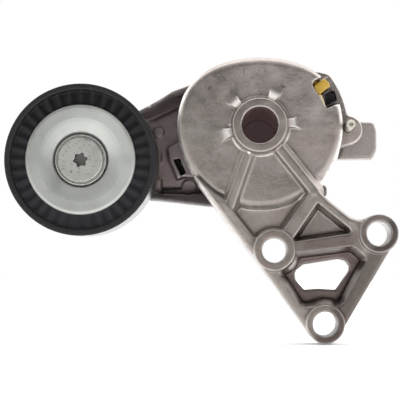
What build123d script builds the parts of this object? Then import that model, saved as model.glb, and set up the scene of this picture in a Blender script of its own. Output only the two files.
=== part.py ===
from build123d import *
import os
import math

# Belt tensioner idler: a cast bracket with a round spring housing, a sprung
# cast arm that pivots on the bracket's hollow spindle, and an idler pulley on
# a ball bearing at the arm's end. Millimetres.
#
# Frame: the origin is on the pivot axis at the bracket's mounting faces.
# +Y runs along the pivot axis away from the mounting faces' viewer side, +Z is
# up and +X is to the right, away from the pulley.

# ---------------------------------------------------------------- dimensions
# pivot, spindle and hub
HUB_BORE_R = 7.75        # bore through the hollow spindle
HUB_BOSS_R = 11.8        # round boss at the mounting face
SPINDLE_R = 11.0         # outside of the spindle tube
SPINDLE_END = 65.6       # rear end of the spindle
BORE_DEPTH = 60.0        # open length of the bore, up to the end cap
CAP_SEAT_R = 7.0         # seat of the end cap's plug, behind the bore

# spring housing (cup)
CUP_R = 35.5
CUP_WALL = 3.5
CUP_TOP = 29.7           # height of the flattened crown above the axis
CUP_TOP_R = 54.0         # radius of the flattened crown
CUP_FACE = 5.0           # front of the cup's closed face
CUP_FACE_T = 4.0
CUP_OPEN = 31.0          # open end of the cup
CUP_EDGE_R = 3.8         # rounded front edge

# mounting bosses: centre X, centre Z, outside radius
BOSS_A = (6.0, -53.0, 8.9)
BOSS_B = (50.1, -46.0, 8.3)
BOSS_C = (27.4, -84.2, 8.3)
BOLT_HOLE_R = 5.25       # clearance for M10
BOSS_DEPTH = 24.0

# bracket web
RIM_FRONT = 2.4          # front of rims and ribs
RIM_BACK = 22.0
WEB_UP = (8.6, 12.6)     # upper web: front and back of its floor
WEB_TRI = (11.5, 15.5)   # triangular pocket
WEB_LOW = (13.6, 17.6)   # lower pocket with the window

# lock lug and pin
PIN_X, PIN_Z = 38.45, 0.3
LOCK_PIN_R = 1.8
LOCK_HOLE_R = 1.88
LUG_R = 6.4
LUG_Y = (20.0, 31.0)
STRIP_R = 39.2

# arm
ARM_FRONT = 31.6
ARM_BACK = 46.0
ARM_CUP_R = 30.0
ARM_CUP_IN = 25.4
ARM_CUP_END = 60.0
ARM_FLOOR = 38.5
ARM_HUB_R = 16.5
ARM_HUB_BORE = 13.0
ARM_TRAVEL = 21.0        # degrees from the free stop to the loaded stop
PULLEY_X, PULLEY_Z = -76.6, -14.3
ARM_END_R = 12.8

# pulley, front to rear along Y
PULLEY_R = 32.5
PULLEY_Y = (3.0, 29.0)
RIM_T = 2.5
PULLEY_RIBS = 36
HUB_SEAT_R = 23.4        # outside of the bearing seat
BRG_OD, BRG_ID, BRG_W = 40.0, 17.0, 12.0
BRG_Y0 = 10.0
BALL_R, BALL_PITCH_R, BALL_N = 3.35, 14.25, 8
SHIELD_R = 23.6

# torsion spring
SPRING_MEAN_R, SPRING_WIRE_R = 21.9, 2.4
SPRING_Y = (12.6, 53.6)
SPRING_PITCH = 5.9


# ------------------------------------------------------------------- helpers
def depth_plane(y):
    """Plane at depth y whose local x, y are the frame's X, Z."""
    return Plane(origin=(0, y, 0), x_dir=(1, 0, 0), z_dir=(0, -1, 0))


def slab(sk, y0, y1):
    """The sketch, drawn in X and Z, made solid from depth y0 to y1."""
    return extrude(depth_plane(y1) * sk, amount=y1 - y0)


def poly(*pts):
    return make_face(Polyline(*pts, close=True))


def disc(x, z, r):
    return Pos(x, z) * Circle(r)


def rod(x, z, r, y0, y1):
    return slab(disc(x, z, r), y0, y1)


def ring(x, z, r0, r1, y0, y1):
    return slab(disc(x, z, r1) - disc(x, z, r0), y0, y1)


def turned(pts, x=0.0, z=0.0):
    """A solid of revolution about the Y line through x, z. pts are (r, y)."""
    face = make_face(Polyline(*pts, close=True))
    return Pos(x, 0, z) * revolve(face, Axis.Y, 360)


def polar(r, deg):
    a = math.radians(deg)
    return (r * math.cos(a), r * math.sin(a))


def sector(r0, r1, a0, a1, step=4.0):
    """Flat ring sector between two radii and two angles, in degrees."""
    n = max(2, int(abs(a1 - a0) / step) + 1)
    angles = [a0 + (a1 - a0) * i / (n - 1) for i in range(n)]
    outer = ThreePointArc(polar(r1, a0), polar(r1, (a0 + a1) / 2), polar(r1, a1))
    inner = ThreePointArc(polar(r0, a1), polar(r0, (a0 + a1) / 2), polar(r0, a0))
    return make_face(
        [outer, Line(polar(r1, a1), polar(r0, a1)), inner, Line(polar(r0, a0), polar(r1, a0))]
    )


def bar(p, q, w):
    """Straight rib footprint of width w from p to q."""
    dx, dz = q[0] - p[0], q[1] - p[1]
    n = math.hypot(dx, dz)
    ox, oz = -dz / n * w / 2, dx / n * w / 2
    return poly(
        (p[0] + ox, p[1] + oz), (q[0] + ox, q[1] + oz),
        (q[0] - ox, q[1] - oz), (p[0] - ox, p[1] - oz),
    )


def front_edges(solid, y, tol=0.05):
    return [e for e in solid.edges() if abs(e.bounding_box().min.Y - y) < tol and abs(e.bounding_box().max.Y - y) < tol]


def save(solid, name):
    solid.label = name
    export_step(solid, f"parts/{name}.step")


os.makedirs("parts", exist_ok=True)

# -------------------------------------------------------------- base bracket
def cup_outline(r, top, top_r):
    return disc(0, 0, r) & disc(0, top - top_r, top_r)


cup = slab(cup_outline(CUP_R, CUP_TOP, CUP_TOP_R), CUP_FACE, CUP_OPEN)
corner_lines = [e for e in cup.edges() if e.geom_type == GeomType.LINE]
cup = fillet(corner_lines, 5.0)
cup = fillet(front_edges(cup, CUP_FACE), CUP_EDGE_R)

# outer contour of the bracket, from the cup round the three bosses
left_run = [(-28.6, -21.6), (-26.3, -26.0), (-15.3, -40.4), (-1.6, -58.2), (20.75, -89.05)]
right_run = [(34.5, -88.5), (57.2, -50.3)]
top_run = [(48.0, -38.0), (44.2, -39.4), (42.0, -39.5), (38.8, -38.6), (35.1, -35.8), (29.6, -31.4), (24.9, -26.6)]
outline = poly(*left_run, BOSS_C[:2], *right_run, BOSS_B[:2], *top_run, (9.6, -9.4), (0, 0), (-20.0, -10.0))
for b in (BOSS_A, BOSS_B, BOSS_C):
    outline = outline + disc(*b)

pocket_up = poly((-21.5, -26.8), (-15.1, -32.6), (-2.9, -47.6), (4.5, -48.0), (9.4, -45.1), (18.3, -33.0), (22.0, -27.0), (0, -20.0))
pocket_up = pocket_up - disc(BOSS_A[0], BOSS_A[1], BOSS_A[2] + 0.6)
pocket_tri = poly((24.4, -33.2), (36.4, -43.2), (36.7, -44.6), (35.8, -45.6), (13.6, -48.3))
pocket_tri = pocket_tri - disc(BOSS_A[0], BOSS_A[1], BOSS_A[2] + 0.6)
pocket_low = poly(
    (15.4, -55.2), (38.0, -51.7), (41.0, -52.9), (44.4, -56.0), (44.7, -58.0),
    (35.4, -75.0), (33.2, -76.8), (27.4, -76.0), (19.0, -77.2), (16.8, -76.4), (8.2, -63.6), (10.0, -60.0),
)
pocket_low = pocket_low - disc(BOSS_A[0], BOSS_A[1], BOSS_A[2] + 0.6) - disc(BOSS_C[0], BOSS_C[1], BOSS_C[2] + 0.6)
window = poly(
    (15.4, -61.3), (18.5, -58.9), (33.6, -56.5), (36.6, -57.4), (38.3, -60.0), (37.9, -62.2),
    (32.3, -69.9), (24.9, -69.4), (18.9, -69.9), (15.1, -65.6), (14.8, -63.0),
)

bracket = slab(outline, RIM_FRONT, RIM_BACK)
for pocket, (front, back) in ((pocket_up, WEB_UP), (pocket_tri, WEB_TRI), (pocket_low, WEB_LOW)):
    bracket -= slab(pocket, RIM_FRONT - 1, front)
    bracket -= slab(pocket, back, RIM_BACK + 1)
bracket -= slab(window, 0, RIM_BACK + 1)
bracket -= rod(0, 0, CUP_R - 0.6, -1, CUP_FACE + CUP_EDGE_R)

# ribs over the cup's face, from the hub to the web
rib_one = slab(bar((-4.2, -10.4), (-11.9, -32.0), 4.4), 2.8, 9.0)
rib_two = slab(bar((7.0, -8.6), (23.0, -28.6), 4.6), RIM_FRONT, 9.0)

# rim flange behind the housing's upper right edge, with the lock lug
strip = slab(sector(CUP_R - 2.0, STRIP_R, 4.0, 46.0), LUG_Y[0], CUP_OPEN)
lug = slab(disc(PIN_X - 0.2, PIN_Z - 0.9, LUG_R) + poly((33.0, 5.0), (37.6, 6.0), (37.6, -7.4), (33.0, -9.6)), *LUG_Y)
# tooth behind the flange: the arm rests against it when it is free
free_stop = slab(sector(33.7, 38.8, 27.6, 33.0), CUP_OPEN - 1.0, 36.0)
# post behind the housing's lower right edge: the loaded stop
nub = slab(disc(28.0, -26.2, 1.7) + disc(28.9, -28.6, 1.7) + bar((28.0, -26.2), (28.9, -28.6), 3.4), 18.0, 41.0)
nub = nub + slab(disc(28.0, -26.2, 1.7) + bar((28.0, -26.2), (26.0, -32.0), 3.4), 18.0, 30.0)

base = cup + bracket + rib_one + rib_two + strip + lug
base = base + rod(0, 0, HUB_BOSS_R, 0, CUP_FACE + 1)
for b in (BOSS_A, BOSS_B, BOSS_C):
    base = base + rod(*b, 0, BOSS_DEPTH)

# short gussets round the hub
for a in (5.0, 66.0, 136.0, 193.0):
    wedge = make_face(Polyline((10.5, 1.2), (12.2, 1.6), (17.8, CUP_FACE + 0.3), (10.5, CUP_FACE + 0.3), close=True))
    wedge = Pos(0, 0, -2.2) * extrude(wedge, amount=4.4)
    base = base + Rot(0, -a, 0) * wedge

# inside of the cup, spindle and inner boss
base = base - slab(cup_outline(CUP_R - CUP_WALL, CUP_TOP - CUP_WALL, CUP_TOP_R - CUP_WALL), CUP_FACE + CUP_FACE_T, 50)
base = base + rod(0, 0, 15.0, CUP_FACE + CUP_FACE_T - 0.5, 12.0)
base = base + rod(0, 0, SPINDLE_R, CUP_FACE, SPINDLE_END)
base = base + free_stop + nub
base = base - rod(0, 0, HUB_BORE_R, -1, BORE_DEPTH) - rod(0, 0, CAP_SEAT_R, BORE_DEPTH - 1, SPINDLE_END + 1)
base = base - ring(0, 0, 10.2, 14.0, 62.4, 63.8)          # circlip groove
for b in (BOSS_A, BOSS_B, BOSS_C):
    base = base - rod(b[0], b[1], BOLT_HOLE_R, -1, BOSS_DEPTH + 1)
base = base - rod(PIN_X, PIN_Z, LOCK_HOLE_R, LUG_Y[0] - 1, CUP_OPEN + 1)

# inspection notch through the cup's edge, over the spring's end
notch = poly((22.3, 18.2), (26.2, 21.6), (31.0, 24.5), (38.0, 20.0), (38.0, 9.2), (34.6, 9.2), (28.4, 7.6), (26.9, 10.6), (24.0, 13.0))
base = base - slab(notch, 0, LUG_Y[0])
base = base - slab(notch & disc(0, 0, CUP_R - CUP_WALL), 0, CUP_OPEN)

# ----------------------------------------------------------------- hidden set
spring_path = Helix(pitch=SPRING_PITCH, height=SPRING_Y[1] - SPRING_Y[0], radius=SPRING_MEAN_R, center=(0, 0, 0), direction=(0, 0, 1))
spring_face = Plane(origin=spring_path @ 0, z_dir=spring_path % 0) * Circle(SPRING_WIRE_R)
spring = sweep(spring_face, path=spring_path, is_frenet=True)
# the helix is made along Z and turned to run along +Y
spring = Pos(0, SPRING_Y[0], 0) * Rot(-90, 0, 0) * spring

# cap of the spring's fixed end: a ring segment under the cup's face with a
# block that fills the upper part of the notch
seat_block = poly((22.9, 17.8), (26.4, 20.9), (27.3, 21.2), (29.3, 19.3), (29.9, 17.3), (29.1, 16.2), (26.6, 14.2), (24.5, 13.5))
spring_seat = slab(seat_block, 6.2, 20.0) + slab(sector(25.2, 31.6, 31.0, 78.0) & disc(0, 26.0 - 50.5, 50.3), 9.2, 16.0)

# friction shoe lining the housing's right side, with a square pocket
shoe = slab(sector(25.2, 31.6, -62.0, 26.0), 9.2, 26.0)
shoe_head = poly((26.9, 13.7), (29.2, 15.7), (31.2, 14.7), (32.2, 11.2), (29.2, 8.9), (28.6, 9.0))
shoe = shoe + slab(poly((25.4, 13.0), (29.3, 15.9), (32.2, 14.7), (33.3, 10.4), (32.0, 9.6), (29.0, 8.4), (28.6, 8.6)), 8.8, 19.4)
shoe = shoe - slab(shoe_head, 8.0, 16.0)

thrust_washer = ring(0, 0, 11.3, 16.4, 12.1, 13.8)
bush_front = ring(0, 0, SPINDLE_R + 0.05, ARM_HUB_BORE, 14.0, 30.0)
bush_rear = ring(0, 0, SPINDLE_R + 0.05, ARM_HUB_BORE, 44.0, 60.0)
thrust_plate = turned([(11.15, 60.3), (19.5, 60.3), (20.5, 60.9), (20.5, 61.5), (19.0, 62.2), (11.15, 62.2)])
clip = slab((disc(0, 0, 13.6) - disc(0, 0, 10.35)) - poly((-2.6, 0), (2.6, 0), (3.4, -20), (-3.4, -20)), 62.5, 63.7)
clip = clip + rod(-4.6, -12.6, 2.0, 62.5, 63.7) + rod(4.6, -12.6, 2.0, 62.5, 63.7)
clip = clip - rod(-4.6, -12.6, 0.9, 62, 64) - rod(4.6, -12.6, 0.9, 62, 64)
end_cap = turned([(0, 60.4), (6.4, 60.4), (6.95, 61.2), (6.95, SPINDLE_END), (10.6, SPINDLE_END), (10.6, 66.4), (9.9, 67.1), (0, 67.1)])
end_cap = end_cap - turned([(0, 66.2), (6.0, 66.2), (6.8, 68), (0, 68)])

# -------------------------------------------------------------------- arm
P = (PULLEY_X, PULLEY_Z)
arm_top = [(-82.4, -2.9), (-66.0, 4.6), (-52.8, 10.0), (-45.3, 14.0), (-38.6, 18.2), (-31.0, 20.9), (-10.0, 28.3)]
arm_low = [(0.0, -30.0), (-10.0, -33.2), (-22.2, -33.3), (-48.8, -30.2), (-78.0, -27.0)]
arm_outline = poly(*arm_top, (0, 0), *arm_low) + disc(*P, ARM_END_R) + disc(0, 0, ARM_CUP_R)
beam = slab(arm_outline, ARM_FRONT, ARM_BACK)

floor_pocket = poly((-58.5, 3.2), (-52.0, 6.4), (-44.6, 10.2), (-37.9, 14.4), (-33.5, 16.2), (-33.5, -28.4), (-48.6, -26.8), (-59.0, -25.6), (-63.0, -18.0), (-63.0, -6.0))
floor_pocket = floor_pocket - disc(0, 0, 33.6) - disc(*P, ARM_END_R + 1.0)
beam = beam - slab(floor_pocket, ARM_FRONT - 1, ARM_FLOOR)
back_pocket = floor_pocket
beam = beam - slab(poly((-58.0, 1.0), (-36.0, 12.0), (-36.0, -26.0), (-58.0, -24.0)) - disc(0, 0, 33.6), 42.5, ARM_BACK + 1)
# cast details on the arm's floor
beam = beam + rod(-44.9, 0.1, 2.4, 36.6, ARM_FLOOR + 1)
pad = poly((-40.0, -6.6), (-36.4, -4.6), (-31.0, -4.6), (-31.0, -20.4), (-34.2, -20.2), (-36.4, -21.3), (-38.2, -16.8), (-40.2, -12.4), (-40.9, -8.0))
beam = beam + slab(pad, 34.4, ARM_FLOOR + 1)
beam = beam - slab(poly((-38.2, -12.4), (-35.5, -11.7), (-32.6, -18.4), (-34.8, -19.5)), 30, ARM_BACK + 1)
beam = beam + slab(poly((-48.2, -21.5), (-43.6, -21.5), (-43.6, -30.0), (-48.2, -30.0)), 35.0, ARM_FLOOR + 1)

# front flange that closes the housing, trimmed level with its flattened crown
flange = slab(disc(0, 0, 33.0) & poly((-40, 31.4), (40, 31.4), (40, -40), (-40, -40)), ARM_FRONT, 36.0)
ear = slab(sector(26.0, 38.7, -8.0, 26.2), ARM_FRONT, 36.0)
tab = slab(
    poly((27.0, 4.3), (49.4, 4.3), (50.8, 3.6), (51.9, 0.4), (51.9, -8.2), (50.2, -12.2), (34.8, -12.4), (36.0, -7.0), (27.0, -7.0)),
    34.0, 44.0,
)
arm = beam + flange + ear + tab
arm = arm + turned([(0, ARM_FRONT), (ARM_CUP_R, ARM_FRONT), (ARM_CUP_R, ARM_CUP_END - 3.0), (ARM_CUP_R - 0.9, ARM_CUP_END - 0.9), (ARM_CUP_R - 3.0, ARM_CUP_END), (0, ARM_CUP_END)])
arm = arm - rod(0, 0, ARM_CUP_IN, ARM_FRONT - 1, 56.5)
arm = arm + rod(0, 0, ARM_HUB_R, 14.0, ARM_CUP_END)
arm = arm - rod(0, 0, ARM_HUB_BORE, 10, 70)
# half-round notch that takes the lock pin when the arm is held loaded
nx, nz = polar(math.hypot(PIN_X, PIN_Z), math.degrees(math.atan2(PIN_Z, PIN_X)) + ARM_TRAVEL)
arm = arm - rod(nx, nz, 2.1, ARM_FRONT - 1, 37)
# boss and thread for the pulley bolt
arm = arm + rod(*P, 9.5, ARM_FRONT - 0.6, ARM_BACK + 2.0)
arm = arm - rod(*P, 5.0, 20, 60)

# ----------------------------------------------------------------- pulley
y0, y1 = PULLEY_Y
shell = ring(*P, PULLEY_R - RIM_T, PULLEY_R, y0, y1)
shell = chamfer([e for e in shell.edges() if e.geom_type == GeomType.CIRCLE and abs(e.radius - PULLEY_R) < 0.01], 0.6)
shell = shell + ring(*P, BRG_OD / 2, HUB_SEAT_R, 5.0, 27.0)
shell = shell + ring(*P, HUB_SEAT_R - 0.5, PULLEY_R - RIM_T + 0.5, 13.5, 18.5)
shell = shell + ring(*P, 18.2, BRG_OD / 2 + 0.5, BRG_Y0 + BRG_W, BRG_Y0 + BRG_W + 1.6)
rib_profile = make_face(Polyline((HUB_SEAT_R - 0.4, 5.4), (PULLEY_R - RIM_T + 0.4, 4.4), (PULLEY_R - RIM_T + 0.4, 27.6), (HUB_SEAT_R - 0.4, 26.6), close=True))
one_rib = Pos(0, 0, -0.55) * extrude(rib_profile, amount=1.1)
ribs = [Pos(PULLEY_X, 0, PULLEY_Z) * Rot(0, 360 * i / PULLEY_RIBS, 0) * one_rib for i in range(PULLEY_RIBS)]
shell = shell + ribs

by0, by1 = BRG_Y0, BRG_Y0 + BRG_W
bmid = (by0 + by1) / 2
groove = Pos(PULLEY_X, bmid, PULLEY_Z) * Rot(90, 0, 0) * Torus(BALL_PITCH_R, BALL_R + 0.06)
outer_ring = turned([(16.5, by0), (19.5, by0), (20.0, by0 + 0.5), (20.0, by1 - 0.5), (19.5, by1), (16.5, by1)], *P) - groove
inner_ring = turned([(9.0, by0), (12.0, by0), (12.0, by1), (9.0, by1), (8.5, by1 - 0.5), (8.5, by0 + 0.5)], *P) - groove
balls = []
for i in range(BALL_N):
    bx, bz = polar(BALL_PITCH_R, 360 * i / BALL_N)
    balls.append(Pos(PULLEY_X + bx, bmid, PULLEY_Z + bz) * Sphere(BALL_R))
cage = ring(*P, 13.3, 15.2, bmid - 4.2, bmid + 4.2)
for i in range(BALL_N):
    # ball pockets are round holes along the ring's radius
    pocket = Pos(BALL_PITCH_R, 0, 0) * Rot(0, 90, 0) * Cylinder(BALL_R + 0.1, 6)
    cage = cage - Pos(PULLEY_X, bmid, PULLEY_Z) * Rot(0, -360 * i / BALL_N, 0) * pocket
seal_front = turned([(12.15, by0 + 0.3), (16.45, by0 + 0.3), (16.45, by0 + 1.3), (12.15, by0 + 1.3)], *P)
seal_rear = turned([(12.15, by1 - 1.3), (16.45, by1 - 1.3), (16.45, by1 - 0.3), (12.15, by1 - 0.3)], *P)

# pressed steel shields: flat annulus, conical dip, flat seat under the bolt
shield_front = turned([
    (5.2, 9.0), (12.4, 9.0), (15.6, 4.6), (16.6, 3.9), (22.6, 3.5), (23.3, 3.7), (23.6, 4.2),
    (23.6, 4.9), (22.9, 4.6), (22.4, 4.4), (16.9, 4.8), (16.2, 5.3), (13.0, 10.0), (5.2, 10.0),
], *P)
shield_rear = turned([
    (8.6, 24.2), (17.5, 24.2), (18.5, 25.8), (19.3, 27.6), (22.6, 27.6), (22.6, 28.5), (18.7, 28.5), (17.6, 26.6), (17.0, 25.2), (8.6, 25.2),
], *P)
spacer = turned([
    (5.1, 10.0), (8.0, 10.0), (8.5, 10.5), (8.5, 25.2), (11.4, 25.2), (11.4, 31.0), (5.1, 31.0),
], *P)
spacer = spacer + ring(*P, 8.4, 11.4, by1, 24.2)

# bolt: round head with a raised outer rim and a six-lobe recess
bolt = turned([
    (0, 4.7), (9.4, 4.7), (9.7, 4.4), (10.7, 4.4), (11.1, 4.8), (11.1, 8.2), (10.4, 9.0), (5.0, 9.0),
    (5.0, 46.5), (4.4, 47.4), (0, 47.4),
], *P)
lobes = disc(0, 0, 2.35)
for i in range(6):
    lx, lz = polar(2.35, 60 * i)
    lobes = lobes + disc(lx, lz, 0.85)
bolt = bolt - Pos(PULLEY_X, 0, PULLEY_Z) * slab(lobes, 4.0, 7.8)

# ----------------------------------------------------------------- lock pin
lock_pin = turned([(0, 2.6), (0.9, 2.6), (0.9, 0.2), (1.1, 0.0), (1.6, 0.0), (LOCK_PIN_R, 0.3), (LOCK_PIN_R, 29.8), (1.1, 30.6), (0, 30.6)], PIN_X, PIN_Z)

PARTS = {
    "base_bracket": base,
    "tension_arm": arm,
    "torsion_spring": spring,
    "spring_seat": spring_seat,
    "friction_shoe": shoe,
    "thrust_washer": thrust_washer,
    "pivot_bush_front": bush_front,
    "pivot_bush_rear": bush_rear,
    "thrust_plate": thrust_plate,
    "retaining_ring": clip,
    "end_cap": end_cap,
    "lock_pin": lock_pin,
    "pulley_shell": shell,
    "bearing_outer_ring": outer_ring,
    "bearing_inner_ring": inner_ring,
    "bearing_balls": Compound(children=balls),
    "bearing_cage": cage,
    "bearing_seal_front": seal_front,
    "bearing_seal_rear": seal_rear,
    "front_dust_shield": shield_front,
    "rear_dust_shield": shield_rear,
    "pulley_spacer": spacer,
    "pulley_bolt": bolt,
}
for name, solid in PARTS.items():
    save(solid, name)
    print(name, len(solid.solids()), round(solid.volume, 1))
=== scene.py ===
import bpy
import bmesh
import math
import numpy as np
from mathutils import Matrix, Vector


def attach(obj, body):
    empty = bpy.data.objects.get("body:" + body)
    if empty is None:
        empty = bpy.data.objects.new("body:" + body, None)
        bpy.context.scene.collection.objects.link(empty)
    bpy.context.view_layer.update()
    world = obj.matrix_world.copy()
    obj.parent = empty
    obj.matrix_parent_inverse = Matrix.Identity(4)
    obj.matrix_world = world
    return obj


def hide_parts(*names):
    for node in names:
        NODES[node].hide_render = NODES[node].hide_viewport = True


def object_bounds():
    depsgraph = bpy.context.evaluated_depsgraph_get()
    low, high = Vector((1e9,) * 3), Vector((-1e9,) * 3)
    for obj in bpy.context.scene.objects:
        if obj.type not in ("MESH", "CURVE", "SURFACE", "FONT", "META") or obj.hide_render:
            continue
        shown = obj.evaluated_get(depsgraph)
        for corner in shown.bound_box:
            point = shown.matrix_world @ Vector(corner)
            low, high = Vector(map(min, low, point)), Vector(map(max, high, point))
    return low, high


# Belt tensioner idler. Shapes are worked out in millimetres, in the CAD frame:
# Y is depth, away from the camera, X is to the right and Z is up. Meshes are
# written in metres.

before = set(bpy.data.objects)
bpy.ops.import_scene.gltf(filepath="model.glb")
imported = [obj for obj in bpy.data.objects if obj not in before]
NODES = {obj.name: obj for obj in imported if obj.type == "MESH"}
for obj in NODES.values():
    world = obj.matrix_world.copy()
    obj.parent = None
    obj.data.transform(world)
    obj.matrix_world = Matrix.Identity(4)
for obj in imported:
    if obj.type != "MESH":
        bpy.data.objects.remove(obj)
cad_lo, cad_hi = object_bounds()
F = np.float32


# ------------------------------------------------------------ distance fields
def uni(a, b, r=0.0):
    """Union, with a fillet of radius r where the two meet."""
    if not r:
        return np.minimum(a, b)
    return np.maximum(r, np.minimum(a, b)) - np.hypot(np.maximum(r - a, 0), np.maximum(r - b, 0))


def inter(a, b, r=0.0):
    """Intersection, with its new edges rounded to radius r."""
    if not r:
        return np.maximum(a, b)
    return np.minimum(-r, np.maximum(a, b)) + np.hypot(np.maximum(r + a, 0), np.maximum(r + b, 0))


def cut(a, b, r=0.0):
    return inter(a, -b, r)


def circ(x, z, cx, cz, r):
    return np.hypot(x - F(cx), z - F(cz)) - F(r)


def poly(x, z, pts):
    """Signed distance to a closed polygon in the X, Z plane."""
    p = np.array(pts, F)
    best = (x - p[0, 0]) ** 2 + (z - p[0, 1]) ** 2
    sign = np.ones(np.broadcast(x, z).shape, F)
    j = len(p) - 1
    for i in range(len(p)):
        ex, ez = p[j] - p[i]
        wx, wz = x - p[i, 0], z - p[i, 1]
        t = np.clip((wx * ex + wz * ez) / (ex * ex + ez * ez), 0, 1)
        best = np.minimum(best, (wx - ex * t) ** 2 + (wz - ez * t) ** 2)
        c1, c2, c3 = z >= p[i, 1], z < p[j, 1], ex * wz > ez * wx
        sign = np.where((c1 & c2 & c3) | (~c1 & ~c2 & ~c3), -sign, sign)
        j = i
    return sign * np.sqrt(best)


def seg(x, z, p, q, w):
    """Straight bar of width w with round ends, from p to q."""
    ex, ez = q[0] - p[0], q[1] - p[1]
    wx, wz = x - F(p[0]), z - F(p[1])
    t = np.clip((wx * F(ex) + wz * F(ez)) / F(ex * ex + ez * ez), 0, 1)
    return np.hypot(wx - F(ex) * t, wz - F(ez) * t) - F(w / 2)


def slab(d2, y, y0, y1, r0=0.3, r1=0.3):
    """A flat shape made solid between two depths, with rounded front and rear edges."""
    return inter(inter(d2, F(y0) - y, r0), y - F(y1), r1)


def tube(x, y, z, cx, cz, r0, r1, y0, y1, e=0.2):
    ring = inter(circ(x, z, cx, cz, r1), -circ(x, z, cx, cz, r0))
    return slab(ring, y, y0, y1, e, e)


def hash_noise(ix, iy, iz, seed):
    h = (ix * 374761393 + iy * 668265263 + iz * 2147483647 + seed * 144269) & 0xFFFFFFFF
    h = ((h ^ (h >> 13)) * 1274126177) & 0xFFFFFFFF
    return ((h ^ (h >> 16)) & 0xFFFF).astype(F) / F(32767.5) - 1


def noise(x, y, z, scale, seed=1):
    """Smooth value noise in -1..1 at points, with features about scale mm across."""
    fx, fy, fz = x / scale, y / scale, z / scale
    ix, iy, iz = (np.floor(v).astype(np.int64) for v in (fx, fy, fz))
    tx, ty, tz = (v - np.floor(v) for v in (fx, fy, fz))
    tx, ty, tz = (t * t * (3 - 2 * t) for t in (tx, ty, tz))
    out = 0
    for a in (0, 1):
        for b in (0, 1):
            for c in (0, 1):
                w = (tx if a else 1 - tx) * (ty if b else 1 - ty) * (tz if c else 1 - tz)
                out = out + w * hash_noise(ix + a, iy + b, iz + c, seed)
    return out.astype(F)


CORNERS = [(a, b, c) for a in (0, 1) for b in (0, 1) for c in (0, 1)]
EDGES = [(p, q) for p in CORNERS for q in CORNERS if sum(q) - sum(p) == 1 and sum(abs(a - b) for a, b in zip(p, q)) == 1]


def skin(f, lo, hi, h, polish=2):
    """The zero surface of f as vertices in mm and quads, by surface nets on a grid of pitch h."""
    lo, hi = np.array(lo, float) - 2.5 * h, np.array(hi, float) + 2.5 * h
    n = np.ceil((hi - lo) / h).astype(int) + 1
    ax = [(lo[i] + h * np.arange(n[i])).astype(F) for i in range(3)]
    x, y, z = ax[0][:, None, None], ax[1][None, :, None], ax[2][None, None, :]
    d = np.ascontiguousarray(np.broadcast_to(f(x, y, z), tuple(n))).astype(F)
    s = d < 0
    total = np.zeros(tuple(n - 1), np.int8)
    for a, b, c in CORNERS:
        total += s[a : n[0] - 1 + a, b : n[1] - 1 + b, c : n[2] - 1 + c]
    cells = np.nonzero((total > 0) & (total < 8))
    index = np.full(tuple(n - 1), -1, np.int32)
    index[cells] = np.arange(len(cells[0]), dtype=np.int32)
    pos, num = np.zeros((len(cells[0]), 3), F), np.zeros(len(cells[0]), F)
    for p, q in EDGES:
        da = d[cells[0] + p[0], cells[1] + p[1], cells[2] + p[2]]
        db = d[cells[0] + q[0], cells[1] + q[1], cells[2] + q[2]]
        hit = (da < 0) != (db < 0)
        t = np.where(hit, da / np.where(hit, da - db, 1), 0)
        for k in range(3):
            pos[:, k] += np.where(hit, p[k] + t * (q[k] - p[k]), 0)
        num += hit
    pos = (pos / num[:, None] + np.stack(cells, 1)) * h + lo
    faces = []
    for k in range(3):
        u, v = (k + 1) % 3, (k + 2) % 3
        sl = [slice(1, -1)] * 3
        sl[k] = slice(None, -1)
        up = list(sl)
        up[k] = slice(1, None)
        a, b = s[tuple(sl)], s[tuple(up)]
        for flip, hits in ((False, a & ~b), (True, ~a & b)):
            at = np.array(np.nonzero(hits))
            at[u] += 1
            at[v] += 1
            quad = []
            for du, dv in ((-1, -1), (0, -1), (0, 0), (-1, 0)):
                c = at.copy()
                c[u] += du
                c[v] += dv
                quad.append(index[c[0], c[1], c[2]])
            quad = np.stack(quad[::-1] if flip else quad, 1)
            faces.append(quad)
    faces = np.concatenate(faces)
    p = pos.astype(F)
    e = F(0.05)
    for _ in range(polish):
        v = f(p[:, 0], p[:, 1], p[:, 2])
        g = np.stack([
            f(p[:, 0] + e, p[:, 1], p[:, 2]) - f(p[:, 0] - e, p[:, 1], p[:, 2]),
            f(p[:, 0], p[:, 1] + e, p[:, 2]) - f(p[:, 0], p[:, 1] - e, p[:, 2]),
            f(p[:, 0], p[:, 1], p[:, 2] + e) - f(p[:, 0], p[:, 1], p[:, 2] - e),
        ], 1) / (2 * e)
        g2 = np.maximum((g * g).sum(1), 0.25)
        step = -np.clip(v / g2, -0.6 * h, 0.6 * h)[:, None] * g * 0.9
        p = p + step.astype(F)
    return p, faces


def mesh_piece(name, verts, faces, body, *nodes, smooth=True):
    """A new mesh object in metres that rides on a body and stands for CAD nodes."""
    me = bpy.data.meshes.new(name)
    verts = np.asarray(verts, np.float64) / 1000.0
    faces = np.asarray(faces)
    me.vertices.add(len(verts))
    me.vertices.foreach_set("co", verts.astype(F).ravel())
    me.loops.add(faces.size)
    me.loops.foreach_set("vertex_index", faces.ravel().astype(np.int32))
    me.polygons.add(len(faces))
    me.polygons.foreach_set("loop_start", np.arange(0, faces.size, faces.shape[1], dtype=np.int32))
    me.update(calc_edges=True)
    me.validate()
    me.polygons.foreach_set("use_smooth", np.full(len(me.polygons), smooth))
    ob = bpy.data.objects.new(name, me)
    bpy.context.scene.collection.objects.link(ob)
    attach(ob, body)
    if nodes:
        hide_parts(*nodes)
    return ob


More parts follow.
